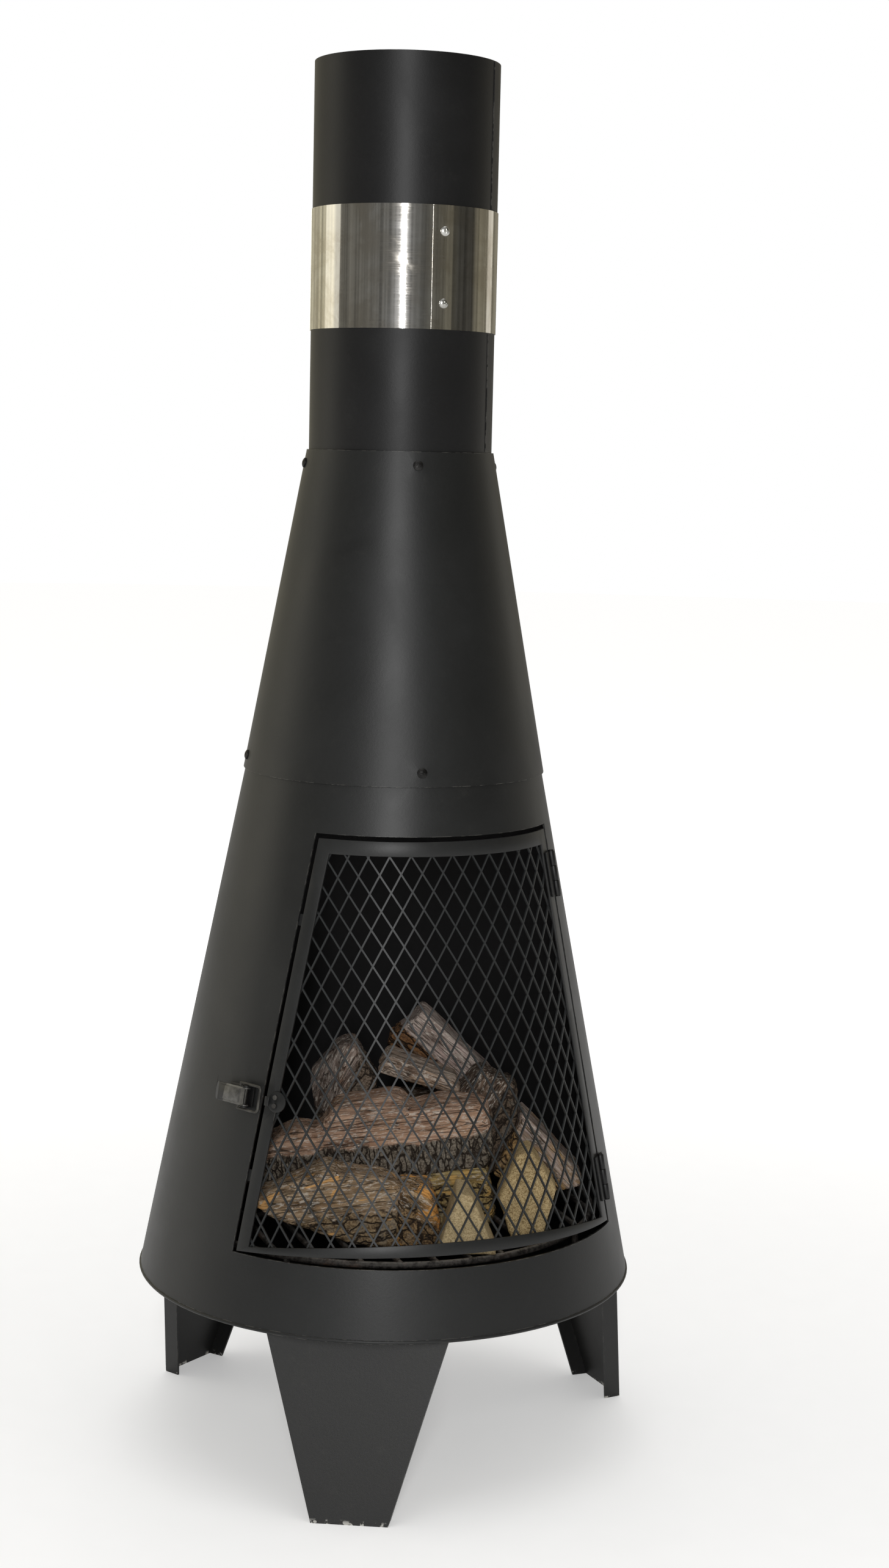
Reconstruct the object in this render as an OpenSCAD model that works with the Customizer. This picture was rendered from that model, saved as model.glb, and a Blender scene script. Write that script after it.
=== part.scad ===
// Free-standing wood burning stove of rolled sheet steel on three folded legs.
// A conical firebox with a mesh door carries a conical hood and a straight flue.
// The origin is on the floor, on the axis of the flue. The door faces -Y.
// Angles round the stove are in degrees from the front, positive towards +X.

/* [Overall] */
// Outer radius of the firebox at its lower edge
base_r = 225; // [200:1:260]
// Height of the lower edge of the firebox above the floor
base_z = 155; // [120:1:200]
// Outer radius of the firebox where the hood slips over it
waist_r = 133.7; // [120:0.1:150]
// Height of the lower edge of the hood
waist_z = 616; // [560:1:680]
// Height of the upper edge of the hood
neck_z = 900; // [840:1:960]
// Height of the top of the flue
flue_top = 1235; // [1150:1:1400]
// Outer radius of the flue
flue_r = 81.3; // [70:0.1:90]

/* [Sheet metal] */
// Thickness of the firebox and hood sheet
sheet_t = 1.5; // [1:0.1:2.5]
// Thickness of the flue sheet
flue_t = 1.2; // [0.8:0.1:2]
// Gap between two sheets that slip over each other
slip_gap = 0.3; // [0.2:0.1:0.6]
// Height of the slip joint between firebox and hood
waist_lap = 24; // [20:1:40]
// Height of the slip joint between hood and flue
neck_lap = 26; // [20:1:40]
// Radius of the rolled bead along the lower edge of the firebox
bead_r = 1.5; // [1:0.1:2.5]
// Width of the lap that closes the flue
seam_w = 11; // [8:1:16]
// Place of the flue lap round the stove
seam_angle = 51; // [30:1:120]
// How much narrower the flue is where it slips into the hood
swage = 1.2; // [0.8:0.1:2]

/* [Door opening] */
// Height of the lower edge of the opening
opening_bottom = 215.5; // [200:0.5:240]
// Height of the upper edge of the opening
opening_top = 574; // [520:0.5:580]
// Angle of the hinge line
hinge_angle = 52.2; // [45:0.1:56]
// Angle of the latch side of the opening at its top
latch_top_angle = 45.8; // [40:0.1:52]
// Angle of the latch side of the opening at its bottom
latch_bottom_angle = 56.2; // [50:0.1:60]
// Gap between the door and the opening
door_gap = 4; // [3:0.5:6]

/* [Door] */
// Thickness of the door frame
door_t = 2; // [1.5:0.1:3]
// Width of the upright bars of the door frame
stile_w = 12; // [10:0.5:20]
// Height of the upper bar of the door frame
top_rail_h = 12.5; // [10:0.5:20]
// Height of the lower bar of the door frame at its middle
bottom_rail_h = 10.5; // [8:0.5:20]
// Rise of the middle of the lower bar above the opening
bottom_rise = 11; // [6:0.5:16]
// Slope of the lower edge of the door, seen from the side
door_bottom_slope = 6; // [0:0.5:8]
// Slope of the lower edge of the mesh, seen from the side
mesh_bottom_slope = 10.5; // [0:0.5:12]

/* [Door mesh] */
// Width of one diamond
diamond_w = 18.6; // [14:0.1:30]
// Height of one diamond
diamond_h = 30.8; // [24:0.1:50]
// Width of a strand
strand_w = 1.5; // [1.2:0.1:3]
// Thickness of the mesh
mesh_t = 1.4; // [1:0.1:2.5]
// Distance from the edge of the door to the edge of the mesh
mesh_margin = 4; // [3:0.5:6]
// How far the diamonds are set off sideways from the middle of the door
mesh_shift = 5.7; // [0:0.1:9]
// Distance of the lowest knots below the lower edge of the mesh
mesh_drop = 5; // [0:0.5:10]

/* [Hinges] */
// Height of the middle of the lower hinge
lower_hinge_z = 257; // [245:1:300]
// Height of the middle of the upper hinge
upper_hinge_z = 530; // [480:1:545]
// Length of a hinge
hinge_h = 40; // [30:1:60]
// Outer radius of the hinge knuckles
knuckle_r = 3; // [2.6:0.1:4]
// Radius of the hinge pin
hinge_pin_r = 1.5; // [1:0.1:2]
// Width of one hinge leaf
leaf_w = 11; // [9:0.5:16]
// Thickness of one hinge leaf
leaf_t = 1.5; // [1:0.1:2]

/* [Latch] */
// Angle of the middle of the latch
latch_angle = 61; // [60:0.1:66]
// Height of the latch
latch_z = 346; // [300:1:480]
// Width of the latch between its two ears
latch_w = 16.4; // [14:0.1:20]
// Length of the lever
lever_l = 37; // [30:1:45]
// Distance from the lever pin to the loop
loop_throw = 7; // [6.5:0.1:8]
// Length of the wire loop
loop_l = 24; // [20:0.5:26]
// Radius of the loop wire
wire_r = 1.25; // [1:0.05:1.5]
// Angle of the middle of the strike
strike_angle = 49.1; // [47:0.1:50]
// Radius of the strike plate
strike_r = 9; // [8:0.5:10]

/* [Legs] */
// Angle of the front leg
leg_angle = -25; // [-40:1:40]
// Distance from the axis to the face of a leg at the floor
leg_foot_r = 237.5; // [225:0.5:260]
// Slope of a leg from the vertical
leg_slope = 12.5; // [8:0.5:16]
// Width of a leg at the floor
leg_foot_w = 66; // [50:1:90]
// Width of a leg at the lower edge of the firebox
leg_top_w = 157; // [120:1:170]
// Depth of the folded sides of a leg
leg_flange = 16; // [12:1:25]
// Thickness of the leg sheet
leg_t = 2; // [1.5:0.1:3]

/* [Base pan and grate] */
// Height of the underside of the base pan
pan_z = 175; // [170:1:190]
// Height of the middle of the grate rods
grate_z = 212.5; // [205:0.5:220]
// Radius of the middle of the grate ring
grate_r = 190; // [170:1:195]
// Radius of the ring rod
ring_rod_r = 3; // [2.5:0.1:4]
// Radius of the grate bars
bar_r = 2.5; // [2:0.1:3]
// Distance between two grate bars
bar_pitch = 31; // [20:1:40]

/* [Flue band] */
// Height of the lower edge of the band
band_bottom = 1004; // [960:1:1040]
// Height of the band
band_h = 104.5; // [80:0.5:140]
// Thickness of the band
band_t = 0.8; // [0.6:0.1:1.2]
// Angle of the visible end of the band
band_end_angle = 11; // [-30:1:60]
// Angle that the band laps over itself
band_lap = 13; // [10:1:20]

/* [Fasteners] */
// Radius of the screws that join the sheets
screw_r = 2.5; // [2:0.1:3]
// Radius of the screw heads
head_r = 4.4; // [3.5:0.1:5.5]
// Height of the screw heads
head_h = 2.6; // [2:0.1:3.5]
// Distance from the edge of the hood to its screws
screw_edge = 12; // [10:0.5:14]
// Angle of the first of the four screws in a ring
screw_angle = -8.5; // [-30:0.5:30]
// Radius of the leg bolts
bolt_r = 3; // [2.5:0.1:4]
// Radius of the latch and strike rivets
rivet_r = 1.5; // [1.2:0.1:2]

/* [Firewood] */
// Turn of the woodpile round the stove
pile_angle = -19; // [-40:1:20]

/* [Hidden] */
$fn = 72;

reach = 400;             // longer than anything in the stove is wide
seat = 0.1;              // space under a part that sits on a curved sheet
bead_out = 0.8;          // how far the bead stands out of the firebox
pin_gap = 0.05;          // running clearance of a pin in its hole
hole_gap = 0.25;         // clearance of a screw in its hole

// Firebox cone
box_slope = (base_r - waist_r) / (waist_z - base_z);
box_tilt = atan(box_slope);
box_wall = sheet_t / cos(box_tilt);
box_top = waist_z + waist_lap;
apex_z = base_z + base_r / box_slope;
function box_r(z) = (apex_z - z) * box_slope;

// Hood cone
hood_low_r = waist_r + slip_gap + sheet_t;
hood_high_r = flue_r + slip_gap + sheet_t;
hood_slope = (hood_low_r - hood_high_r) / (neck_z - waist_z);
hood_tilt = atan(hood_slope);
hood_wall = sheet_t / cos(hood_tilt);
function hood_r(z) = hood_low_r - (z - waist_z) * hood_slope;
flue_bottom = neck_z - neck_lap;

// Door
door_top = opening_top - door_gap;
door_bottom = opening_bottom + bottom_rise;
door_wall = door_t / cos(box_tilt);
latch_mid_angle = (latch_top_angle + latch_bottom_angle) / 2;
latch_top_x = box_r(opening_top) * sin(latch_mid_angle - latch_top_angle);
latch_bottom_x = -box_r(opening_bottom) * sin(latch_bottom_angle - latch_mid_angle);

// Hinges
knuckle_z = knuckle_r - 0.4;
knuckle_gap = 0.4;
knuckle_h = (hinge_h - 2 * knuckle_gap) / 3;

// Latch
lever_pin_x = 9;
lever_pin_z = 5.4;
lever_pin_r = 1.5;
ear_t = 1;
ear_r = 4.5;
lever_t = 1.2;
lever_gap = 0.3;
arm_y = latch_w / 2 + ear_t + wire_r + 0.55;
loop_x = lever_pin_x - loop_throw;

// Legs and base pan
pan_t = 1.5;
pan_top = pan_z + pan_t;
pan_skirt = 16;
leg_tab = 34;
leg_bolt_x = 45;
leg_bolt_in = 20;
leg_face_r = leg_foot_r - pan_z * tan(leg_slope);

// Fasteners
nut_r = 4.6;
nut_h = 4;
ring_angles = [for (k = [0:3]) screw_angle + 90 * k];
leg_angles = [leg_angle, leg_angle + 120, leg_angle + 240];

// Places a piece on a cone: x runs round the stove, y up the sheet, z out of it.
module on_surface(angle, r, z, tilt) {
    rotate([0, 0, angle]) translate([0, -r, z]) rotate([90 - tilt, 0, 0]) children();
}

module on_firebox(angle, z) {
    on_surface(angle, box_r(z), z, box_tilt) children();
}

module on_hood(angle, z) {
    on_surface(angle, hood_r(z), z, hood_tilt) children();
}

// Conical tube of horizontal wall w between two heights.
module cone_tube(r0, z0, r1, z1, w) {
    rotate_extrude() polygon([[r0 - w, z0], [r0, z0], [r1, z1], [r1 - w, z1]]);
}

// The space between the two sides, the top and the sloping bottom of a door outline.
module door_space(side, top, bottom, slope) {
    intersection() {
        translate([-reach, -reach, 0]) cube([2 * reach, reach, top]);
        translate([0, -box_r(bottom), bottom]) rotate([-slope, 0, 0])
            translate([-reach, -reach / 2, 0]) cube([2 * reach, 1.5 * reach, 2 * reach]);
        rotate([0, 0, -latch_mid_angle]) translate([0, reach, 0]) rotate([90, 0, 0])
            linear_extrude(2 * reach)
                polygon([[latch_bottom_x + side, opening_bottom], [reach, opening_bottom],
                    [reach, opening_top], [latch_top_x + side, opening_top]]);
        rotate([0, 0, hinge_angle]) translate([-reach - side, -reach, 0])
            cube([reach, 2 * reach, opening_top]);
    }
}

// Dome-headed screw along z, its head on the plane z = 0 and its tip at -length.
module dome_screw(r, length, big_r, h) {
    translate([0, 0, -length]) cylinder(r = r, h = length + h / 2);
    difference() {
        intersection() {
            cylinder(r = big_r, h = h);
            translate([0, 0, h - 1.6 * big_r]) sphere(r = 1.6 * big_r);
        }
        cross_slot(big_r, h);
    }
}

module cross_slot(big_r, h) {
    for (turn = [0, 90]) rotate([0, 0, turn])
        translate([-big_r / 2, -0.4, 0.6 * h]) cube([big_r, 0.8, h]);
}

// Hexagon nut along z, hanging below z = 0.
module hex_nut(r, hole) {
    translate([0, 0, -nut_h]) difference() {
        cylinder(r = r, h = nut_h, $fn = 6);
        translate([0, 0, -1]) cylinder(r = hole, h = nut_h + 2);
    }
}

module screw_hole(r) {
    translate([0, 0, -10]) cylinder(r = r, h = 20);
}

// Outer side of the flue, from its swaged lower end upwards.
flue_side = [[flue_r - swage, flue_bottom], [flue_r - swage, neck_z - 5], [flue_r, neck_z - 2],
    [flue_r, flue_top]];

module flue_pipe() {
    color("#2d2d2e") difference() {
        union() {
            rotate_extrude() polygon([
                for (p = flue_side) p, for (k = [3:-1:0]) flue_side[k] - [flue_t, 0]]);
            flue_lap();
        }
        for (a = ring_angles) on_hood(a, neck_z - screw_edge) screw_hole(screw_r + hole_gap);
        for (z = band_screw_heights) on_surface(band_screw_angle, flue_r, z, 0)
            screw_hole(band_screw_r + pin_gap);
    }
}

// The outer edge of the flue sheet where it laps over itself, left plain under the band.
module flue_lap() {
    half = seam_w / 2 / flue_r * 180 / PI;
    for (span = [[neck_z + 1, band_bottom - 1], [band_bottom + band_h + 1, flue_top - 1]])
        translate([0, 0, span[0]]) rotate([0, 0, seam_angle - 90 - half])
            rotate_extrude(angle = 2 * half)
                translate([flue_r - 0.5, 0]) square([0.5 + flue_t * 0.6, span[1] - span[0]]);
}

band_r = flue_r + slip_gap / 2;
band_screw_r = 1.9;
band_screw_angle = band_end_angle - band_lap / 2 + 1;
band_screw_heights = [band_bottom + 22, band_bottom + band_h - 22];

module flue_band() {
    color("#c9c6bd") difference() {
        union() {
            translate([0, 0, band_bottom]) difference() {
                cylinder(r = band_r + band_t, h = band_h);
                translate([0, 0, -1]) cylinder(r = band_r, h = band_h + 2);
            }
            translate([0, 0, band_bottom]) rotate([0, 0, band_end_angle - 90 - band_lap])
                rotate_extrude(angle = band_lap)
                    translate([band_r + band_t / 2, 0]) square([1.5 * band_t, band_h]);
        }
        for (z = band_screw_heights) on_surface(band_screw_angle, flue_r, z, 0)
            screw_hole(band_screw_r + pin_gap);
    }
}

module band_screws() {
    color("#d8d8d8") for (z = band_screw_heights)
        on_surface(band_screw_angle, band_r + 2 * band_t + seat, z, 0)
            dome_screw(band_screw_r, flue_t + 2 * band_t + slip_gap, 4, 2.2);
}

module neck_screws() {
    color("#262626") for (a = ring_angles) on_hood(a, neck_z - screw_edge)
        translate([0, 0, seat]) dome_screw(screw_r, 14, head_r, head_h);
}

module neck_nuts() {
    depth = (hood_r(neck_z - screw_edge) - flue_r + swage + flue_t) / cos(hood_tilt);
    lean = nut_r * tan(hood_tilt);
    color("#4a4a4a") for (a = ring_angles) on_hood(a, neck_z - screw_edge)
        translate([0, 0, -depth - lean - seat]) hex_nut(nut_r, screw_r + pin_gap);
}

module smoke_hood() {
    color("#2f2f30") difference() {
        cone_tube(hood_low_r, waist_z, hood_high_r, neck_z, hood_wall);
        for (a = ring_angles) {
            on_hood(a, neck_z - screw_edge) screw_hole(screw_r + hole_gap);
            on_hood(a, waist_z + screw_edge) screw_hole(screw_r + hole_gap);
        }
    }
}

module waist_screws() {
    color("#262626") for (a = ring_angles) on_hood(a, waist_z + screw_edge)
        translate([0, 0, seat]) dome_screw(screw_r, 10, head_r, head_h);
}

module waist_nuts() {
    z = waist_z + screw_edge;
    depth = (hood_r(z) - box_r(z)) * cos(hood_tilt) + sheet_t;
    lean = nut_r * tan(box_tilt - hood_tilt);
    color("#4a4a4a") for (a = ring_angles) on_hood(a, z)
        translate([0, 0, -depth - lean - 2 * seat]) hex_nut(nut_r, screw_r + pin_gap);
}

module firebox_shell() {
    color("#333333") difference() {
        union() {
            cone_tube(base_r, base_z, box_r(box_top), box_top, box_wall);
            rotate_extrude() translate([base_r - bead_r + bead_out, base_z + bead_r])
                circle(r = bead_r);
        }
        door_space(-door_gap / 2, opening_top, opening_bottom, 0);
        for (a = ring_angles) on_hood(a, waist_z + screw_edge) screw_hole(screw_r + hole_gap);
        on_firebox(-latch_angle, latch_z) for (x = latch_rivet_x) translate([x, 0, 0])
            screw_hole(rivet_r + pin_gap);
    }
}

// Shallow dish that closes the firebox and carries the legs, its skirt turned down.
module base_pan() {
    inner = box_wall + slip_gap;
    low_z = pan_top - pan_skirt;
    wall = pan_t / cos(box_tilt);
    color("#2b2b2b") difference() {
        rotate_extrude() polygon([[box_r(low_z) - inner - wall, low_z], [box_r(low_z) - inner, low_z],
            [box_r(pan_top) - inner, pan_top], [0, pan_top], [0, pan_z],
            [box_r(pan_z) - inner - wall, pan_z]]);
        each_leg_bolt() screw_hole(bolt_r + hole_gap);
    }
}

module each_leg_bolt() {
    for (a = leg_angles, side = [-1, 1]) rotate([0, 0, a])
        translate([side * leg_bolt_x, leg_bolt_in - leg_face_r, pan_z]) children();
}

// Welded grate of round rods: a ring, parallel bars, one cross bar and four feet.
module fire_grate() {
    bar_count = floor((grate_r - bar_pitch / 2) / bar_pitch);
    foot = grate_r * cos(45);
    color("#3a3a3a") {
        translate([0, 0, grate_z]) rotate_extrude() translate([grate_r, 0]) circle(r = ring_rod_r);
        for (k = [-bar_count - 1:bar_count]) grate_bar((k + 0.5) * bar_pitch);
        translate([-grate_r, 0, grate_z - 2 * bar_r + 0.5]) rotate([0, 90, 0])
            cylinder(r = bar_r, h = 2 * grate_r);
        for (x = [-foot, foot], y = [-foot, foot]) translate([x, y, pan_top])
            cylinder(r = ring_rod_r - 0.2, h = grate_z - pan_top);
    }
}

module grate_bar(x) {
    half = sqrt(grate_r * grate_r - x * x);
    translate([x, half, grate_z]) rotate([90, 0, 0]) cylinder(r = bar_r, h = 2 * half);
}

// One folded leg facing -Y: a tapering face, two folded sides and a tab under the pan.
module leg() {
    spread = (leg_top_w - leg_foot_w) / 2 / (base_z / cos(leg_slope));
    top = pan_z / cos(leg_slope) + 8;
    difference() {
        intersection() {
            translate([0, -leg_foot_r, 0]) rotate([-leg_slope, 0, 0]) difference() {
                leg_outline(spread, top, 0, leg_flange);
                translate([0, leg_t, 0]) leg_outline(spread, top, leg_t, leg_flange);
            }
            translate([-leg_top_w / 2, -reach, 0]) cube([leg_top_w, reach, pan_z]);
        }
    }
    leg_top_tab();
}

// Tapering block that stands on its narrow end, d deep, drawn in by inset on each side.
module leg_outline(spread, top, inset, d) {
    low = -8;
    half = leg_foot_w / 2 - inset;
    translate([0, d, 0]) rotate([90, 0, 0]) linear_extrude(d)
        polygon([[-half - spread * low, low], [half + spread * low, low],
            [half + spread * top, top], [-half - spread * top, top]]);
}

module leg_top_tab() {
    w = leg_top_w - 2 * leg_t - 4;
    difference() {
        translate([-w / 2, -leg_face_r, pan_z - leg_t]) cube([w, leg_tab, leg_t]);
        for (side = [-1, 1]) translate([side * leg_bolt_x, leg_bolt_in - leg_face_r, pan_z])
            screw_hole(bolt_r + hole_gap);
    }
}

module leg_at(k) {
    color("#303030") rotate([0, 0, leg_angles[k]]) leg();
}

module leg_front() {
    leg_at(0);
}

module leg_rear_right() {
    leg_at(1);
}

module leg_rear_left() {
    leg_at(2);
}

module leg_bolts() {
    color("#3c3c3c") each_leg_bolt() translate([0, 0, pan_t]) dome_screw(bolt_r, 13, 5.5, 3);
}

module leg_nuts() {
    color("#4a4a4a") each_leg_bolt() translate([0, 0, -leg_t]) hex_nut(5.5, bolt_r + pin_gap);
}

stop_depth = door_t + 1.9;

// Two small tabs welded inside the latch side of the opening, behind the door frame.
module door_stops() {
    color("#2b2b2b") for (z = [281, 500]) {
        share = (opening_top - z) / (opening_top - opening_bottom);
        angle = latch_top_angle + (latch_bottom_angle - latch_top_angle) * share;
        on_firebox(-angle, z) {
            translate([-12, -5, -stop_depth]) cube([10, 10, stop_depth - sheet_t - 8 * seat]);
            translate([-3, -5, -stop_depth]) cube([3.8 + door_gap / 2, 10, 1.5]);
        }
    }
}

module knuckle(low) {
    translate([0, low, knuckle_z]) rotate([-90, 0, 0]) difference() {
        cylinder(r = knuckle_r, h = knuckle_h);
        translate([0, 0, -1]) cylinder(r = hinge_pin_r + pin_gap, h = knuckle_h + 2);
    }
}

// Plate of a leaf on the +x side, joined to knuckles that start at the heights given.
module leaf_plate(lows) {
    clear = knuckle_r + 0.5;
    difference() {
        union() {
            translate([clear, -hinge_h / 2, seat]) cube([leaf_w - clear, hinge_h, leaf_t]);
            for (low = lows) translate([1.9, low, seat]) cube([clear, knuckle_h, leaf_t]);
        }
        translate([0, -hinge_h, knuckle_z]) rotate([-90, 0, 0])
            cylinder(r = hinge_pin_r + pin_gap, h = 2 * hinge_h);
    }
}

module body_leaf(z) {
    low = -hinge_h / 2;
    high = hinge_h / 2 - knuckle_h;
    color("#1f1f1f") on_firebox(hinge_angle, z) {
        knuckle(low);
        knuckle(high);
        leaf_plate([low, high]);
    }
}

module door_leaf(z) {
    color("#1f1f1f") on_firebox(hinge_angle, z) {
        knuckle(-knuckle_h / 2);
        mirror([1, 0, 0]) leaf_plate([-knuckle_h / 2]);
    }
}

module hinge_pin(z) {
    cap = 1;
    color("#555555") on_firebox(hinge_angle, z) translate([0, -hinge_h / 2, knuckle_z])
        rotate([-90, 0, 0]) {
            translate([0, 0, -cap]) cylinder(r = hinge_pin_r, h = hinge_h + 2 * cap);
            translate([0, 0, hinge_h]) cylinder(r = 0.8 * knuckle_r, h = cap);
            translate([0, 0, -cap]) cylinder(r = 0.8 * knuckle_r, h = cap);
        }
}

module hinge_body_leaf_upper() {
    body_leaf(upper_hinge_z);
}

module hinge_body_leaf_lower() {
    body_leaf(lower_hinge_z);
}

module hinge_door_leaf_upper() {
    door_leaf(upper_hinge_z);
}

module hinge_door_leaf_lower() {
    door_leaf(lower_hinge_z);
}

module hinge_pin_upper() {
    hinge_pin(upper_hinge_z);
}

module hinge_pin_lower() {
    hinge_pin(lower_hinge_z);
}

module door_frame() {
    color("#3a3a3a") difference() {
        intersection() {
            cone_tube(box_r(opening_bottom), opening_bottom, box_r(opening_top), opening_top, door_wall);
            door_space(door_gap / 2, door_top, door_bottom, door_bottom_slope);
        }
        door_space(door_gap / 2 + stile_w, door_top - top_rail_h,
            door_bottom + bottom_rail_h, mesh_bottom_slope);
        on_firebox(-strike_angle, latch_z) for (y = strike_rivet_y) translate([strike_rivet_x, y, 0])
            screw_hole(rivet_r + pin_gap);
    }
}

// Expanded metal, laid out on the unrolled sheet. A point there is [u, s]: u runs
// across the middle line of the door, and s is the distance down from the apex.
cone_sine = sin(box_tilt);
function unrolled(angle, z) = let (s = (apex_z - z) / cos(box_tilt), t = angle * cone_sine)
    [s * sin(t), s * cos(t)];
function rolled(p, depth) = let (s = norm(p), angle = atan2(p[0], p[1]) / cone_sine,
    r = s * cone_sine - depth * cos(box_tilt), z = apex_z - s * cos(box_tilt) - depth * cone_sine)
    [r * sin(angle), -r * cos(angle), z];
mesh_edge = door_gap / 2 + mesh_margin;
latch_corners = [unrolled(-latch_top_angle, opening_top), unrolled(-latch_bottom_angle, opening_bottom)];
hinge_corners = [unrolled(hinge_angle, opening_top), unrolled(hinge_angle, opening_bottom)];
mesh_low_s = unrolled(0, door_bottom + bottom_rail_h / 2)[1];
mesh_lowest_s = unrolled(0, opening_bottom + door_gap + 1)[1];
mesh_high_s = unrolled(0, door_top - mesh_margin)[1];
function side_of(p, a, b) = cross(b - a, p - a) / norm(b - a);
function room(p) = min(mesh_low_s - p[1], mesh_lowest_s - norm(p), norm(p) - mesh_high_s,
    -side_of(p, latch_corners[0], latch_corners[1]) - mesh_edge,
    side_of(p, hinge_corners[0], hinge_corners[1]) - mesh_edge);
mesh_rows = ceil((mesh_low_s - mesh_high_s * 0.97) / diamond_h * 2);
mesh_columns = ceil(base_r / diamond_w);
function knot(i, j) = [(i + (j % 2) / 2) * diamond_w + mesh_shift,
    mesh_low_s + mesh_drop - j * diamond_h / 2];
strand_x = strand_w / 2 * norm([diamond_w, diamond_h]) / diamond_h;
strand_y = strand_w / 2 * norm([diamond_w, diamond_h]) / diamond_w;
function right_of(p) = p + [strand_x, 0];
function left_of(p) = p - [strand_x, 0];
function above(p) = p - [0, strand_y];
function below(p) = p + [0, strand_y];
// Where the line from p inside the mesh to q outside it ends, clear of the next strand.
function cut(p, q) = let (a = room(p), b = room(q)) p + (q - p) * (b >= 0 ? 0.9 : min(0.9, a / (a - b)));
knots = [for (j = [0:mesh_rows], i = [-mesh_columns:mesh_columns]) let (p = knot(i, j))
    if (room(p) > strand_y) [i, j]];
function kept(i, j) = room(knot(i, j)) > strand_y;
// The strands that leave a knot: the column and row step, and the corners it leaves from.
function column_step(j, side) = j % 2 == 0 ? (side > 0 ? 0 : -1) : (side > 0 ? 1 : 0);
function corner(p, side, up) = [side > 0 ? right_of(p) : left_of(p), up > 0 ? above(p) : below(p)];
function flat_face(ps, depth, flip) = [for (k = [0:len(ps) - 1])
    rolled(ps[flip ? len(ps) - 1 - k : k], depth)];
function wall_face(a, b) = [rolled(a, mesh_front), rolled(a, mesh_back),
    rolled(b, mesh_back), rolled(b, mesh_front)];
mesh_front = door_t + 0.25;
mesh_back = mesh_front + mesh_t;
// One strand as faces: p and q are the ends of its left edge, r and t of its right edge.
function strand_faces(p, q, r, t, capped) = concat(
    [flat_face([p, q, t, r], mesh_front, false), flat_face([p, q, t, r], mesh_back, true)],
    [wall_face(p, q), wall_face(t, r)], capped ? [wall_face(q, t)] : []);
mesh_faces = concat(
    [for (k = knots) let (p = knot(k[0], k[1]), ring = [above(p), right_of(p), below(p), left_of(p)])
        each [flat_face(ring, mesh_front, false), flat_face(ring, mesh_back, true)]],
    [for (k = knots, side = [-1, 1], up = [-1, 1]) let (
            p = knot(k[0], k[1]), i = k[0] + column_step(k[1], side), j = k[1] + up,
            far = knot(i, j), joined = j >= 0 && kept(i, j),
            from = corner(p, side, up), to = corner(far, -side, -up),
            lead = side * up > 0 ? [from[1], to[0], from[0], to[1]] : [from[0], to[1], from[1], to[0]])
        if (!joined || up > 0) each strand_faces(lead[0], joined ? lead[1] : cut(lead[0], lead[1]),
            lead[2], joined ? lead[3] : cut(lead[2], lead[3]), !joined)]);

module door_mesh() {
    points = [for (f = mesh_faces) each f];
    starts = [for (k = 0, n = 0; k < len(mesh_faces); n = n + len(mesh_faces[k]), k = k + 1) n];
    faces = [for (k = [0:len(mesh_faces) - 1]) each
        [for (m = [1:len(mesh_faces[k]) - 2]) [starts[k], starts[k] + m, starts[k] + m + 1]]];
    color("#454647") polyhedron(points, faces);
}

latch_rivet_x = [-9.5, 1];

// Base of the toggle latch: a plate with two ears that hold the lever pin.
module latch_base() {
    half = latch_w / 2 + ear_t;
    color("#2a2a2a") on_firebox(-latch_angle, latch_z) difference() {
        union() {
            translate([-14, -half, seat]) cube([28.5, 2 * half, lever_t]);
            for (y = [-half, latch_w / 2]) {
                translate([lever_pin_x - ear_r, y, seat]) cube([2 * ear_r, ear_t, lever_pin_z - seat]);
                translate([lever_pin_x, y, lever_pin_z]) rotate([-90, 0, 0])
                    cylinder(r = ear_r, h = ear_t);
            }
        }
        lever_pin_shape(lever_pin_r + pin_gap, half + 1);
        for (x = latch_rivet_x) translate([x, 0, 0]) screw_hole(rivet_r + pin_gap);
    }
}

module lever_pin_shape(r, half) {
    translate([lever_pin_x, -half, lever_pin_z]) rotate([-90, 0, 0]) cylinder(r = r, h = 2 * half);
}

module latch_pin() {
    half = latch_w / 2 + ear_t;
    color("#555555") on_firebox(-latch_angle, latch_z) {
        lever_pin_shape(lever_pin_r, half);
        for (y = [-half - 0.45, half]) translate([lever_pin_x, y, lever_pin_z])
            rotate([-90, 0, 0]) cylinder(r = lever_pin_r + 0.5, h = 0.45);
    }
}

module latch_base_rivets() {
    color("#555555") on_firebox(-latch_angle, latch_z) for (x = latch_rivet_x) translate([x, 0, 0]) {
        translate([0, 0, -sheet_t - 1.2]) cylinder(r = rivet_r, h = sheet_t + lever_t + 1.7);
        translate([0, 0, lever_t + seat]) cylinder(r = 1.5 * rivet_r, h = 0.9);
        translate([0, 0, -sheet_t - 1.2]) cylinder(r = 1.5 * rivet_r, h = 0.8);
    }
}

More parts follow.
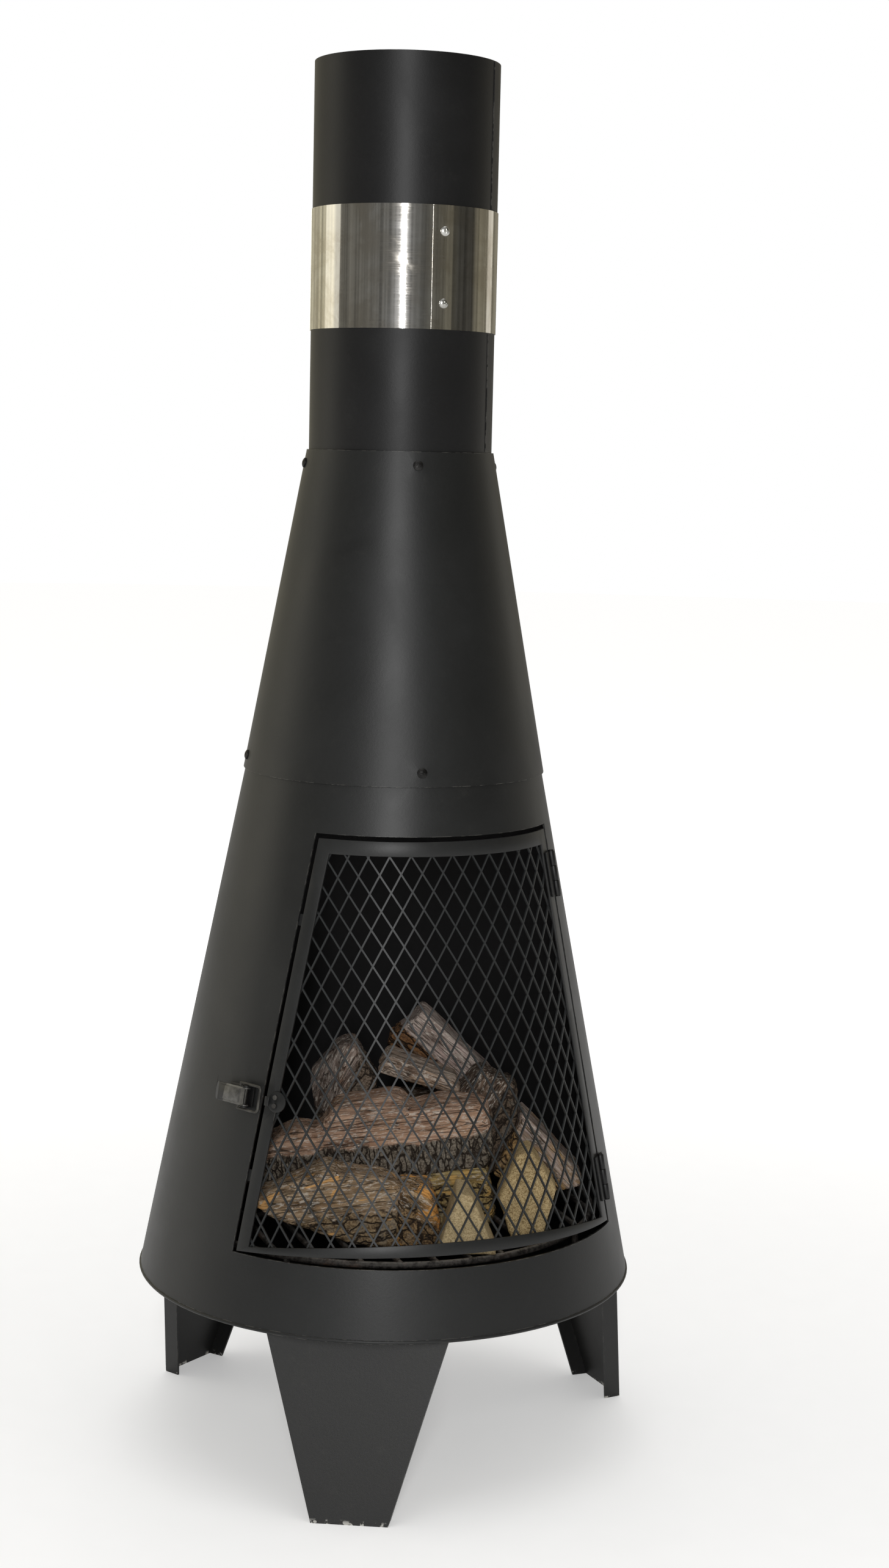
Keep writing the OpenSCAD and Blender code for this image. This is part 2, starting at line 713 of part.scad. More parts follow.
// Lever of the latch: a pressed plate with a bent tip and two side flanges.
module latch_lever() {
    half = latch_w / 2 - lever_gap;
    top = lever_pin_z + 3.4;
    tip = lever_pin_x - lever_l;
    color("#5b5a56") on_firebox(-latch_angle, latch_z) difference() {
        union() {
            intersection() {
                translate([0, half, 0]) rotate([90, 0, 0]) linear_extrude(2 * half)
                    polygon([[tip, top - 4.6], [tip + 0.7, top - 5], [tip + 8, top - lever_t],
                        [lever_pin_x + 2, top - lever_t], [lever_pin_x + 2, top], [tip + 7.5, top]]);
                lever_outline(tip, half);
            }
            translate([tip + 10, 2 - half, top - 0.2]) cube([lever_l - 14, 2 * half - 4, 0.9]);
            for (y = [-half, half - ear_t]) lever_flange(y, top);
        }
        lever_pin_shape(lever_pin_r + pin_gap, latch_w);
        translate([loop_x, -latch_w, lever_pin_z]) rotate([-90, 0, 0])
            cylinder(r = wire_r + pin_gap, h = 2 * latch_w);
    }
}

// Plan of the lever: a strip whose free end is rounded.
module lever_outline(tip, half) {
    corner_r = 6;
    translate([tip + corner_r, -half, 0]) cube([lever_l + 10, 2 * half, 20]);
    translate([tip, corner_r - half, 0]) cube([corner_r + 1, 2 * (half - corner_r), 20]);
    for (y = [corner_r - half, half - corner_r]) translate([tip + corner_r, y, 0])
        cylinder(r = corner_r, h = 20);
}

module lever_flange(y, top) {
    low = lever_pin_z - 2.6;
    translate([lever_pin_x - 12, y, low]) cube([12, ear_t, top - low - 0.2]);
    translate([lever_pin_x, y, lever_pin_z]) rotate([-90, 0, 0]) cylinder(r = 3.9, h = ear_t);
}

// Wire loop of the latch, hung in the lever: two arms, an end bar and two short ends.
module latch_loop() {
    bend = 3;
    stub = latch_w / 2 - lever_gap - ear_t - 0.4;
    end_x = loop_x + loop_l;
    color("#4c4b48") on_firebox(-latch_angle, latch_z) translate([0, 0, lever_pin_z]) {
        for (side = [-1, 1]) {
            translate([loop_x, side * arm_y, 0]) sphere(r = wire_r);
            translate([loop_x, side > 0 ? stub : -arm_y, 0]) rotate([-90, 0, 0])
                cylinder(r = wire_r, h = arm_y - stub);
            translate([loop_x, side * arm_y, 0]) rotate([0, 90, 0])
                cylinder(r = wire_r, h = loop_l - bend);
            translate([end_x - bend, side * (arm_y - bend), 0]) rotate([0, 0, side > 0 ? 0 : -90])
                rotate_extrude(angle = 90) translate([bend, 0]) circle(r = wire_r);
        }
        translate([end_x, bend - arm_y, 0]) rotate([-90, 0, 0])
            cylinder(r = wire_r, h = 2 * (arm_y - bend));
    }
}

strike_rivet_x = -1.5;
strike_rivet_y = [-3.6, 3.6];
strike_t = 1.5;

// Strike on the door: a round plate with a hook that faces away from the latch.
module latch_strike() {
    hook_h = 6.4;
    color("#353535") on_firebox(-strike_angle, latch_z) difference() {
        union() {
            translate([0, 0, seat]) cylinder(r = strike_r, h = strike_t);
            translate([-strike_r, -4, seat]) cube([3, 8, strike_t]);
            translate([-strike_r, -4, seat]) cube([1.4, 8, hook_h]);
            translate([-strike_r, -4, hook_h - 1.1]) cube([4.2, 8, 1.2]);
        }
        for (y = strike_rivet_y) translate([strike_rivet_x, y, 0]) screw_hole(rivet_r + pin_gap);
    }
}

module strike_rivets() {
    color("#cfcfcf") on_firebox(-strike_angle, latch_z)
        for (y = strike_rivet_y) translate([strike_rivet_x, y, 0]) {
            translate([0, 0, -door_t]) cylinder(r = rivet_r, h = door_t + strike_t + 0.5);
            translate([0, 0, strike_t + seat]) cylinder(r = 1.4 * rivet_r, h = 0.9);
        }
}

// A piece of firewood: its side outline drawn across the pile, near and far from the front.
module wood(tone, near, far, outline) {
    color(tone) rotate([0, 0, pile_angle]) translate([0, -far, wood_z]) rotate([90, 0, 0])
        linear_extrude(near - far) polygon(outline);
}

wood_z = grate_z + ring_rod_r + 0.3;

module log_tapered() {
    wood("#8c6f52", 150, 104, [[-116, 38], [-100, 26], [-52, 8], [-14, 0], [12, 0], [12, 52],
        [-10, 60], [-40, 62], [-84, 52]]);
}

module log_gnarled() {
    wood("#6e5239", 152, 104, [[13, 0], [44, 0], [43, 30], [38, 52], [13, 52]]);
}

module log_cut_wedge() {
    wood("#b59f78", 168, 122, [[46, 0], [97, 0], [74, 52], [62, 54]]);
}

module log_pale_wedge() {
    wood("#b8a078", 124, 84, [[100, 36], [112, 0], [138, 0], [150, 44], [126, 80], [116, 76]]);
}

module log_under() {
    wood("#5c4b36", 103, 62, [[-60, 0], [92, 0], [96, 30], [88, 55], [-50, 44]]);
}

module log_long() {
    wood("#83705f", 103, 56, [[-116, 34], [-60, 46], [-50, 44.5], [88, 55.5], [94, 72], [88, 112],
        [20, 106], [-60, 86], [-112, 70]]);
}

module log_end_grain() {
    wood("#5a4a3c", 55, 12, [[66, 40], [96, 40], [118, 84], [114, 118], [82, 134], [66, 112]]);
}

module log_plank() {
    wood("#8d7450", 60, 12, [[98, 40], [128, 20], [176, 30], [176, 40], [122, 96], [119, 84]]);
}

module log_split_chunk() {
    wood("#5b4c41", 55, 10, [[-62, 88.7], [-20, 94.2], [-10, 120], [-32, 156], [-44, 152], [-70, 124]]);
}

module log_small_bark() {
    wood("#6a5c50", 55, 12, [[-8, 99], [16, 104], [65, 112], [62, 124], [2, 146], [-8, 134]]);
}

module log_apex_split() {
    wood("#8f7a68", 11, -30, [[-4, 104], [58, 98.3], [66, 99], [100, 110], [92, 122], [32, 178], [2, 150]]);
}

module log_back() {
    wood("#57483a", 55, -36, [[-66, 0], [62, 0], [62, 98], [-4, 96], [-64, 88]]);
}

flue_pipe();
flue_band();
band_screws();
neck_screws();
neck_nuts();
smoke_hood();
waist_screws();
waist_nuts();
firebox_shell();
base_pan();
fire_grate();
leg_front();
leg_rear_right();
leg_rear_left();
leg_bolts();
leg_nuts();
door_stops();
hinge_body_leaf_upper();
hinge_body_leaf_lower();
hinge_pin_upper();
hinge_pin_lower();
door_frame();
door_mesh();
hinge_door_leaf_upper();
hinge_door_leaf_lower();
latch_base();
latch_base_rivets();
latch_pin();
latch_lever();
latch_loop();
latch_strike();
strike_rivets();
log_tapered();
log_gnarled();
log_cut_wedge();
log_pale_wedge();
log_long();
log_under();
log_end_grain();
log_plank();
log_split_chunk();
log_apex_split();
log_small_bark();
log_back();
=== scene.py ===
"""Free-standing wood burning stove of rolled sheet steel, with a stack of firewood behind its mesh door."""

import math

import bpy
from mathutils import Matrix, Vector


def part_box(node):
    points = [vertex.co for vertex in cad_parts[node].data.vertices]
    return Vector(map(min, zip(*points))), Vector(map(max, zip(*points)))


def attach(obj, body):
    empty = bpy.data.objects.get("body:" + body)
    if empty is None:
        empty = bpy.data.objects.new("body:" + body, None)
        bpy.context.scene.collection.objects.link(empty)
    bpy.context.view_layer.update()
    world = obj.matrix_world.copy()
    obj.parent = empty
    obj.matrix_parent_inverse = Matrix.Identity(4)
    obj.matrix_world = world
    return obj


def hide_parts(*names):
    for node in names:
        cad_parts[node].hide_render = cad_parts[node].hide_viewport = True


MM = 0.001
PILE_TURN = math.radians(-19)  # the logs lie across the view from the left of the door
FULL_TURN = 360.0

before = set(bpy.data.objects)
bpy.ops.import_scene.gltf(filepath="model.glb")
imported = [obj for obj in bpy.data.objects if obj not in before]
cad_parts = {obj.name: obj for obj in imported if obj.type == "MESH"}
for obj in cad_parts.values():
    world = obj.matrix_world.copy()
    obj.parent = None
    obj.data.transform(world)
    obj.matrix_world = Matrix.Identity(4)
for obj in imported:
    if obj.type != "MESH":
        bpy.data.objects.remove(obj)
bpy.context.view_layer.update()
scene = bpy.context.scene


# ---------------------------------------------------------------- hand tools


def only(piece):
    """Selects one piece and nothing else."""
    bpy.ops.object.select_all(action="DESELECT")
    piece.select_set(True)
    bpy.context.view_layer.objects.active = piece


def open_mesh(piece):
    """Goes into edit mode on a piece, with nothing selected."""
    only(piece)
    bpy.ops.object.mode_set(mode="EDIT")
    bpy.ops.mesh.select_mode(type="VERT")
    bpy.ops.mesh.select_all(action="DESELECT")


def close_mesh():
    bpy.ops.object.mode_set(mode="OBJECT")


def use(piece, kind, **settings):
    """Adds a modifier with these settings and applies it."""
    only(piece)
    tool = piece.modifiers.new(kind.lower(), kind)
    for name, value in settings.items():
        setattr(tool, name, value)
    bpy.ops.object.modifier_apply(modifier=tool.name)


def settle(piece):
    """Puts the place and turn of a piece into its mesh."""
    only(piece)
    bpy.ops.object.transform_apply(location=True, rotation=True, scale=True)


def copy_of(node, name):
    """A merged copy of a CAD node, ready to be worked on."""
    piece = bpy.data.objects.new(name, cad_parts[node].data.copy())
    scene.collection.objects.link(piece)
    open_mesh(piece)
    bpy.ops.mesh.customdata_custom_splitnormals_clear()
    bpy.ops.mesh.select_all(action="SELECT")
    bpy.ops.mesh.remove_doubles(threshold=0.005 * MM)
    bpy.ops.mesh.mark_sharp(clear=True)
    close_mesh()
    return piece


def dress(piece, finish):
    piece.data.materials.clear()
    piece.data.materials.append(finish)


def stand_for(piece, node, body, finish):
    """Hands a piece over in place of a CAD node."""
    dress(piece, finish)
    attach(piece, body)
    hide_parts(node)


def paint_node(node, finish):
    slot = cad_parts[node].material_slots[0]
    slot.link = "OBJECT"
    slot.material = finish


# ---------------------------------------------------------------- node tools


def new_group(name, inputs, outputs):
    group = bpy.data.node_groups.new(name, "ShaderNodeTree")
    for label, kind in inputs:
        group.interface.new_socket(label, in_out="INPUT", socket_type=kind)
    for label, kind in outputs:
        group.interface.new_socket(label, in_out="OUTPUT", socket_type=kind)
    start = group.nodes.new("NodeGroupInput")
    end = group.nodes.new("NodeGroupOutput")
    return group, start, end


def new_finish(name):
    finish = bpy.data.materials.new(name)
    finish.use_nodes = True
    tree = finish.node_tree
    return finish, tree, tree.nodes["Principled BSDF"]


def place_group(tree, group):
    node = tree.nodes.new("ShaderNodeGroup")
    node.node_tree = group
    return node


def feed(tree, socket, value):
    """Links a socket to another one, or sets it to a plain value."""
    if isinstance(value, bpy.types.NodeSocket):
        tree.links.new(value, socket)
    else:
        socket.default_value = value


def object_place(tree):
    return tree.nodes.new("ShaderNodeTexCoord").outputs["Object"]


def scaled(tree, vector, by):
    node = tree.nodes.new("ShaderNodeVectorMath")
    node.operation = "MULTIPLY"
    feed(tree, node.inputs[0], vector)
    feed(tree, node.inputs[1], by)
    return node.outputs[0]


def noise(tree, vector, scale, detail=3.0, roughness=0.55, distortion=0.0):
    node = tree.nodes.new("ShaderNodeTexNoise")
    feed(tree, node.inputs["Vector"], vector)
    node.inputs["Scale"].default_value = scale
    node.inputs["Detail"].default_value = detail
    node.inputs["Roughness"].default_value = roughness
    node.inputs["Distortion"].default_value = distortion
    return node.outputs["Fac"]


def span(tree, value, low, high, to_low=0.0, to_high=1.0):
    """Maps a value between two limits to two others, softly."""
    node = tree.nodes.new("ShaderNodeMapRange")
    node.interpolation_type = "SMOOTHSTEP"
    feed(tree, node.inputs["Value"], value)
    node.inputs["From Min"].default_value = low
    node.inputs["From Max"].default_value = high
    node.inputs["To Min"].default_value = to_low
    node.inputs["To Max"].default_value = to_high
    return node.outputs["Result"]


def calc(tree, operation, first, second=0.0):
    node = tree.nodes.new("ShaderNodeMath")
    node.operation = operation
    feed(tree, node.inputs[0], first)
    feed(tree, node.inputs[1], second)
    return node.outputs[0]


def blend_colours(tree, factor, first, second):
    node = tree.nodes.new("ShaderNodeMix")
    node.data_type = "RGBA"
    feed(tree, node.inputs["Factor"], factor)
    feed(tree, node.inputs["A"], first)
    feed(tree, node.inputs["B"], second)
    return node.outputs["Result"]


def blend_values(tree, factor, first, second):
    node = tree.nodes.new("ShaderNodeMix")
    feed(tree, node.inputs["Factor"], factor)
    feed(tree, node.inputs["A"], first)
    feed(tree, node.inputs["B"], second)
    return node.outputs["Result"]


def bump(tree, height, depth, strength):
    node = tree.nodes.new("ShaderNodeBump")
    feed(tree, node.inputs["Height"], height)
    node.inputs["Distance"].default_value = depth
    node.inputs["Strength"].default_value = strength
    return node.outputs["Normal"]


def part_of(tree, vector, axis):
    node = tree.nodes.new("ShaderNodeSeparateXYZ")
    feed(tree, node.inputs[0], vector)
    return node.outputs[axis]


def dot(tree, first, second):
    node = tree.nodes.new("ShaderNodeVectorMath")
    node.operation = "DOT_PRODUCT"
    feed(tree, node.inputs[0], first)
    feed(tree, node.inputs[1], second)
    return node.outputs["Value"]


def tone(red, green, blue):
    """A colour from its usual screen values, 0 to 255."""
    parts = []
    for part in (red, green, blue):
        parts.append(((part / 255 + 0.055) / 1.055) ** 2.4 if part > 10 else part / 3294)
    return (*parts, 1.0)


COLOUR = "NodeSocketColor"
VALUE = "NodeSocketFloat"
VECTOR = "NodeSocketVector"


# ---------------------------------------------------------------- shared effects


def make_edge_wear_and_glint():
    """Mask of the sharp outer edges, broken up as rubbed paint is; the paints also use it for painted edge
    glints.
    """
    group, start, end = new_group("edge_wear_and_glint", [("Reach", VALUE)], [("Mask", VALUE)])
    rounded = group.nodes.new("ShaderNodeBevel")
    rounded.samples = 4
    feed(group, rounded.inputs["Radius"], start.outputs["Reach"])
    flat = group.nodes.new("ShaderNodeNewGeometry").outputs["Normal"]
    bend = calc(group, "SUBTRACT", 1.0, dot(group, rounded.outputs["Normal"], flat))
    edge = span(group, bend, 0.02, 0.16)
    broken = span(group, noise(group, object_place(group), 110.0, 4.0, 0.65), 0.47, 0.58)
    feed(group, end.inputs["Mask"], calc(group, "MULTIPLY", edge, broken))
    return group


def make_soot():
    """Mask of the faces that look towards the axis of the stove, where soot gathers."""
    group, start, end = new_group("soot", [], [("Mask", VALUE)])
    place = object_place(group)
    flat_place = scaled(group, place, (1.0, 1.0, 0.0))
    facing = group.nodes.new("ShaderNodeNewGeometry").outputs["Normal"]
    inward = calc(group, "MULTIPLY", dot(group, facing, flat_place), -1.0)
    cloud = noise(group, place, 14.0, 4.0, 0.6)
    mask = calc(group, "MULTIPLY", span(group, inward, 0.0, 0.03), span(group, cloud, 0.1, 0.6, 0.75, 1.0))
    feed(group, end.inputs["Mask"], mask)
    return group


def make_paint_grain():
    """Sprayed heat-resistant paint: fine grain, soft mottling and a little dust."""
    group, start, end = new_group(
        "paint_grain",
        [("Base", COLOUR), ("Dust", COLOUR)],
        [("Color", COLOUR), ("Roughness", VALUE), ("Height", VALUE)],
    )
    place = object_place(group)
    grain = noise(group, place, 1100.0, 2.0, 0.6)
    mottle = noise(group, place, 9.0, 5.0, 0.6, 0.4)
    speck = noise(group, place, 420.0, 2.0, 0.5)
    cloudy = calc(group, "MULTIPLY", mottle, 0.7)
    speckled = calc(group, "MULTIPLY", speck, 0.3)
    shade = span(group, calc(group, "ADD", cloudy, speckled), 0.3, 0.7)
    darker = blend_colours(group, 0.3, start.outputs["Base"], (0.0, 0.0, 0.0, 1.0))
    paint = blend_colours(group, shade, darker, start.outputs["Base"])
    dusty = calc(group, "MULTIPLY", span(group, noise(group, place, 55.0, 6.0, 0.75), 0.55, 0.8), 0.1)
    feed(group, end.inputs["Color"], blend_colours(group, dusty, paint, start.outputs["Dust"]))
    matt = calc(group, "ADD", mottle, dusty)
    feed(group, end.inputs["Roughness"], span(group, matt, 0.2, 1.0, 0.4, 0.54))
    waves = noise(group, place, 5.0, 1.0, 0.4)
    texture = calc(group, "ADD", calc(group, "MULTIPLY", grain, 0.25), calc(group, "MULTIPLY", speck, 0.3))
    feed(group, end.inputs["Height"], calc(group, "ADD", texture, waves))
    return group


def make_wood_fibre():
    """Split wood: streaks along x, fine fibres, stains, drying cracks and near-black patches of painted
    shade.
    """
    group, start, end = new_group(
        "wood_fibre",
        [("Vector", VECTOR), ("Light", COLOUR), ("Dark", COLOUR), ("Stain", COLOUR)],
        [("Color", COLOUR), ("Roughness", VALUE), ("Height", VALUE)],
    )
    place = start.outputs["Vector"]
    along = scaled(group, place, (0.09, 1.0, 1.0))
    streak = noise(group, along, 240.0, 6.0, 0.65, 0.5)
    fibre = noise(group, scaled(group, place, (0.05, 1.0, 1.0)), 1300.0, 3.0, 0.6)
    patch = noise(group, scaled(group, place, (0.45, 1.0, 1.0)), 42.0, 4.0, 0.6, 0.8)
    shadow = noise(group, scaled(group, place, (0.5, 1.0, 1.0)), 78.0, 5.0, 0.7, 0.5)
    crack_line = noise(group, scaled(group, place, (0.035, 1.0, 1.0)), 190.0, 2.0, 0.5, 0.3)
    beside = calc(group, "ABSOLUTE", calc(group, "SUBTRACT", crack_line, 0.47))
    crack = span(group, beside, 0.004, 0.022, 1.0, 0.0)
    body = blend_colours(
        group, span(group, streak, 0.34, 0.66), start.outputs["Dark"], start.outputs["Light"])
    stained = blend_colours(group, calc(group, "MULTIPLY", span(group, patch, 0.5, 0.68), 0.75), body,
                            start.outputs["Stain"])
    dark_fibre = span(group, fibre, 0.35, 0.65, 0.34, 0.0)
    fine = blend_colours(group, dark_fibre, stained, (0.02, 0.014, 0.01, 1.0))
    fleck = noise(group, scaled(group, place, (0.4, 1.0, 1.0)), 420.0, 4.0, 0.7)
    # Near-black patches laid at random over the wood as painted shade, like the dark gaps in the pile.
    painted_shade = blend_colours(group, span(group, shadow, 0.3, 0.46, 0.85, 0.0), fine, (0.03, 0.022, 0.016, 1.0))
    silvered = blend_colours(group, span(group, fleck, 0.5, 0.64, 0.0, 0.62), painted_shade, tone(222, 214, 202))
    cracked = blend_colours(
        group, calc(group, "MULTIPLY", crack, 0.7), silvered, (0.016, 0.012, 0.009, 1.0))
    feed(group, end.inputs["Color"], cracked)
    feed(group, end.inputs["Roughness"], span(group, streak, 0.2, 0.8, 0.92, 0.7))
    relief = calc(group, "ADD", streak, calc(group, "MULTIPLY", fibre, 0.35))
    feed(group, end.inputs["Height"], calc(group, "SUBTRACT", relief, calc(group, "MULTIPLY", crack, 0.8)))
    return group


def make_bark_cover():
    """Bark: plates with dark furrows along x, lichen-grey on top."""
    group, start, end = new_group(
        "bark_cover",
        [("Vector", VECTOR), ("Light", COLOUR), ("Dark", COLOUR), ("Plates", VECTOR)],
        [("Color", COLOUR), ("Roughness", VALUE), ("Height", VALUE)],
    )
    place = start.outputs["Vector"]
    wander = group.nodes.new("ShaderNodeVectorMath")
    wander.operation = "ADD"
    drift = group.nodes.new("ShaderNodeTexNoise")
    feed(group, drift.inputs["Vector"], place)
    drift.inputs["Scale"].default_value = 60.0
    drift.inputs["Detail"].default_value = 4.0
    feed(group, wander.inputs[0], scaled(group, place, start.outputs["Plates"]))
    feed(group, wander.inputs[1], scaled(group, drift.outputs["Color"], (0.012, 0.012, 0.012)))
    plates = group.nodes.new("ShaderNodeTexVoronoi")
    plates.feature = "DISTANCE_TO_EDGE"
    feed(group, plates.inputs["Vector"], wander.outputs[0])
    plates.inputs["Scale"].default_value = 130.0
    furrow = span(group, plates.outputs["Distance"], 0.0, 0.14)
    crumb = noise(group, place, 520.0, 5.0, 0.7)
    lichen = noise(group, place, 70.0, 4.0, 0.6)
    body = blend_colours(
        group, span(group, crumb, 0.38, 0.62), start.outputs["Dark"], start.outputs["Light"])
    grey = blend_colours(group, span(group, lichen, 0.5, 0.7, 0.0, 0.5), body, tone(142, 138, 128))
    deep = blend_colours(group, furrow, tone(44, 35, 28), grey)
    feed(group, end.inputs["Color"], deep)
    feed(group, end.inputs["Roughness"], span(group, crumb, 0.2, 0.8, 0.95, 0.8))
    feed(group, end.inputs["Height"], calc(group, "ADD", furrow, calc(group, "MULTIPLY", crumb, 0.7)))
    return group


def make_sawn_face():
    """Sawn pale wood: fine pores, faint growth rings and saw marks."""
    group, start, end = new_group(
        "sawn_face",
        [("Vector", VECTOR), ("Light", COLOUR), ("Dark", COLOUR)],
        [("Color", COLOUR), ("Roughness", VALUE), ("Height", VALUE)],
    )
    place = start.outputs["Vector"]
    rings = group.nodes.new("ShaderNodeTexWave")
    rings.wave_type = "RINGS"
    rings.rings_direction = "Y"
    feed(group, rings.inputs["Vector"], place)
    rings.inputs["Scale"].default_value = 75.0
    rings.inputs["Distortion"].default_value = 2.5
    rings.inputs["Detail"].default_value = 3.0
    rings.inputs["Detail Scale"].default_value = 1.5
    pores = noise(group, place, 850.0, 3.0, 0.7)
    marks = noise(group, scaled(group, place, (1.0, 1.0, 0.06)), 900.0, 1.0, 0.5)
    shade = calc(group, "ADD", calc(group, "MULTIPLY", rings.outputs["Fac"], 0.06),
                 calc(group, "MULTIPLY", pores, 0.94))
    wood = blend_colours(
        group, span(group, shade, 0.36, 0.6), start.outputs["Dark"], start.outputs["Light"])
    dirt = span(group, noise(group, place, 46.0, 4.0, 0.65), 0.5, 0.72, 0.0, 0.45)
    feed(group, end.inputs["Color"], blend_colours(group, dirt, wood, start.outputs["Dark"]))
    feed(group, end.inputs["Roughness"], span(group, pores, 0.2, 0.8, 0.9, 0.75))
    feed(group, end.inputs["Height"], calc(group, "ADD", pores, marks))
    return group


edge_wear_and_glint = make_edge_wear_and_glint()
soot = make_soot()
paint_grain = make_paint_grain()
wood_fibre = make_wood_fibre()
bark_cover = make_bark_cover()
sawn_face = make_sawn_face()


# ---------------------------------------------------------------- metal finishes


def painted_steel(name, base, dust, wear_and_glint, reach, sooty=False, specular=0.5, chipped=False):
    """Satin paint on steel, lighter on its edges as rubbed paint and as painted edge glints, sooty inside
    or chipped on the ground.
    """
    finish, tree, shader = new_finish(name)
    paint = place_group(tree, paint_grain)
    paint.inputs["Base"].default_value = base
    paint.inputs["Dust"].default_value = dust
    edge_mask = place_group(tree, edge_wear_and_glint)
    edge_mask.inputs["Reach"].default_value = reach
    # Edges lightened to grey, partly as rubbed paint and partly as painted edge glints.
    rubbed_and_glint = calc(tree, "MULTIPLY", edge_mask.outputs["Mask"], wear_and_glint)
    colour = blend_colours(tree, rubbed_and_glint, paint.outputs["Color"], tone(120, 118, 112))
    roughness = paint.outputs["Roughness"]
    if chipped:
        place = object_place(tree)
        foot = span(tree, part_of(tree, place, "Z"), 1.2 * MM, 4.5 * MM, 1.0, 0.0)
        flakes = span(tree, noise(tree, place, 150.0, 4.0, 0.6), 0.54, 0.6)
        colour = blend_colours(tree, calc(tree, "MULTIPLY", foot, flakes), colour, tone(184, 182, 176))
    if sooty:
        black = place_group(tree, soot)
        colour = blend_colours(tree, black.outputs["Mask"], colour, tone(27, 26, 27))
        roughness = blend_values(tree, black.outputs["Mask"], roughness, 0.9)
    feed(tree, shader.inputs["Base Color"], colour)
    feed(tree, shader.inputs["Roughness"], roughness)
    shader.inputs["Specular IOR Level"].default_value = specular
    feed(tree, shader.inputs["Normal"], bump(tree, paint.outputs["Height"], 0.25 * MM, 0.6))
    return finish


def plated_steel(name, light, dark, smoothest, roughest, metallic=1.0):
    """Bare or plated steel with fine handling marks."""
    finish, tree, shader = new_finish(name)
    place = object_place(tree)
    cloud = noise(tree, place, 60.0, 4.0, 0.6)
    scratch = noise(tree, scaled(tree, place, (1.0, 1.0, 0.12)), 1800.0, 2.0, 0.5)
    edge_mask = place_group(tree, edge_wear_and_glint)
    edge_mask.inputs["Reach"].default_value = 0.4 * MM
    shade = calc(tree, "ADD", span(tree, cloud, 0.3, 0.7, 0.0, 0.8), edge_mask.outputs["Mask"])
    feed(tree, shader.inputs["Base Color"], blend_colours(tree, shade, dark, light))
    feed(tree, shader.inputs["Roughness"], span(tree, scratch, 0.3, 0.7, smoothest, roughest))
    shader.inputs["Metallic"].default_value = metallic
    feed(tree, shader.inputs["Normal"], bump(tree, scratch, 0.04 * MM, 0.5))
    return finish


def lever_steel():
    """Plated lever, bright on its raised middle and dipped black at its tip."""
    finish, tree, shader = new_finish("lever_zinc")
    low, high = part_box("latch_lever")
    dip_line = high.y - 16 * MM
    place = object_place(tree)
    cloud = noise(tree, place, 90.0, 4.0, 0.6)
    dipped = span(tree, part_of(tree, place, "Y"), dip_line, dip_line + 0.5 * MM)
    zinc = blend_colours(tree, span(tree, cloud, 0.35, 0.65), tone(92, 91, 88), tone(124, 123, 120))
    feed(tree, shader.inputs["Base Color"], blend_colours(tree, dipped, zinc, tone(24, 24, 24)))
    feed(tree, shader.inputs["Metallic"], span(tree, dipped, 0.0, 1.0, 0.75, 0.0))
    feed(tree, shader.inputs["Roughness"], span(tree, cloud, 0.3, 0.7, 0.36, 0.5))
    feed(tree, shader.inputs["Normal"], bump(tree, cloud, 0.1 * MM, 0.5))
    return finish


def polished_band():
    """Polished stainless sheet: soft waves, hairline scratches and faint finger marks."""
    finish, tree, shader = new_finish("polished_stainless")
    place = object_place(tree)
    hairline = noise(tree, scaled(tree, place, (0.02, 0.02, 1.0)), 2600.0, 2.0, 0.6)
    smear = noise(tree, place, 26.0, 4.0, 0.65, 0.6)
    waves = noise(tree, scaled(tree, place, (1.0, 1.0, 0.22)), 17.0, 2.0, 0.4)
    feed(tree, shader.inputs["Base Color"], blend_colours(
        tree, span(tree, smear, 0.35, 0.7), tone(218, 216, 212), tone(196, 191, 182)))
    brushed = span(tree, hairline, 0.3, 0.7, 0.05, 0.12)
    roughness = calc(tree, "ADD", brushed, span(tree, smear, 0.5, 0.75, 0.0, 0.1))
    feed(tree, shader.inputs["Roughness"], roughness)
    shader.inputs["Metallic"].default_value = 1.0
    relief = calc(tree, "ADD", waves, calc(tree, "MULTIPLY", hairline, 0.012))
    feed(tree, shader.inputs["Normal"], bump(tree, relief, 0.9 * MM, 0.55))
    return finish


def ashy_iron():
    """Bare dark rod with heat scale, and ash lying on its upper side."""
    finish, tree, shader = new_finish("ashy_iron")
    place = object_place(tree)
    scale_marks = noise(tree, place, 240.0, 5.0, 0.7)
    rust = noise(tree, place, 40.0, 4.0, 0.6)
    iron = blend_colours(tree, span(tree, scale_marks, 0.35, 0.65), tone(46, 43, 41), tone(92, 88, 84))
    brown = blend_colours(tree, span(tree, rust, 0.52, 0.72, 0.0, 0.6), iron, tone(88, 62, 44))
    upward = part_of(tree, tree.nodes.new("ShaderNodeNewGeometry").outputs["Normal"], "Z")
    ash = calc(tree, "MULTIPLY", span(tree, upward, 0.5, 1.0), span(tree, scale_marks, 0.35, 0.6, 0.1, 0.7))
    feed(tree, shader.inputs["Base Color"], blend_colours(tree, ash, brown, tone(150, 146, 140)))
    feed(tree, shader.inputs["Roughness"], span(tree, scale_marks, 0.3, 0.7, 0.5, 0.8))
    feed(tree, shader.inputs["Metallic"], span(tree, rust, 0.5, 0.7, 0.6, 0.1))
    feed(tree, shader.inputs["Normal"], bump(tree, scale_marks, 0.2 * MM, 0.8))
    return finish
